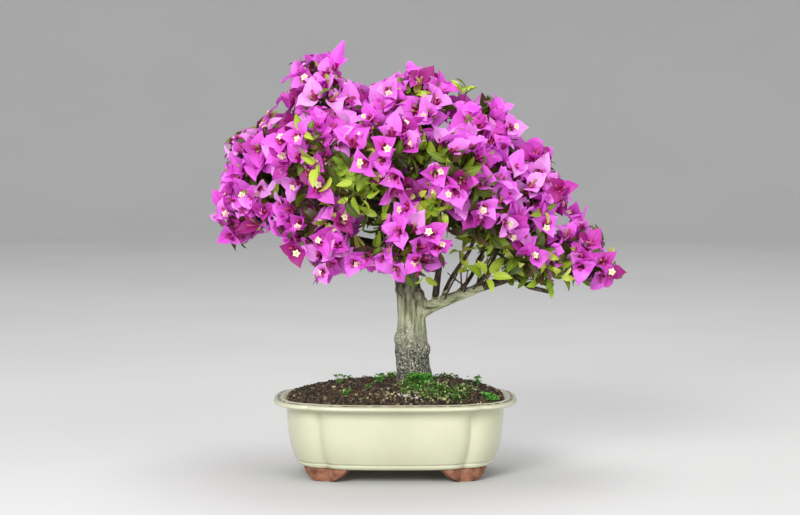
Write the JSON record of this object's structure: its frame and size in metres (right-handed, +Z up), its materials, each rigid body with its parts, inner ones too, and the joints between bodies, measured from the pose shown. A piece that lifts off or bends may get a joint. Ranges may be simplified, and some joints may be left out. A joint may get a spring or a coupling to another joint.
{
  "type": "bougainvillea bonsai in a pot",
  "caption": "Bougainvillea bonsai in bloom: tapered leaning trunk, low side bough and a dome of magenta bracts and green leaves, in a lobed cream-glazed pot on clay feet.",
  "frame": {"origin": "on the surface the pot stands on, under the middle of the whole plant's box", "axes": "+Z up, +X to the right and -Y towards the viewer when the plant is seen from its front"},
  "size_m": [0.4542, 0.3092, 0.4775],
  "materials": {
    "glaze": "cream gloss glaze",
    "clay": "bare unglazed terracotta",
    "soil": "dark, moist and crumbly",
    "bark": "grey-green bark, rough and flaking low down",
    "bloom": "papery magenta bracts",
    "leaf": "yellow-green leaves"
  },
  "bodies": {
    "root": {"pot": "glaze", "foot_front_left": "clay", "foot_front_right": "clay", "foot_back_left": "clay", "foot_back_right": "clay", "soil": "soil", "trunk": "bark", "leader": "bark", "bough_left": "bark", "bough_right": "bark", "bough_back": "bark", "bough_peak_left": "bark", "bough_shoulder_right": "bark", "bough_upper_left": "bark", "bough_front_upper_left": "bark", "bough_front_upper": "bark", "bough_front_upper_right": "bark", "bough_front_low_left": "bark", "bough_front_low": "bark", "bough_front_right": "bark", "bough_right_side": "bark", "bough_low_right": "bark", "bough_back_left": "bark", "bough_back_right": "bark", "bough_back_low": "bark", "bough_back_low_right": "bark", "mass_peak_middle": "bloom", "mass_lower_left": "bloom", "mass_tip_right": "bloom", "mass_back_upper": "bloom", "mass_peak_left": "bloom", "mass_shoulder_right": "bloom", "mass_upper_left": "bloom", "mass_front_upper_left": "bloom", "mass_front_upper": "bloom", "mass_front_upper_right": "bloom", "mass_front_low_left": "bloom", "mass_front_low": "bloom", "mass_front_right": "bloom", "mass_right_side": "bloom", "mass_low_right": "leaf", "mass_back_left": "bloom", "mass_back_right": "bloom", "mass_back_low": "bloom", "mass_back_low_right": "bloom"}
  },
  "joints": []
}
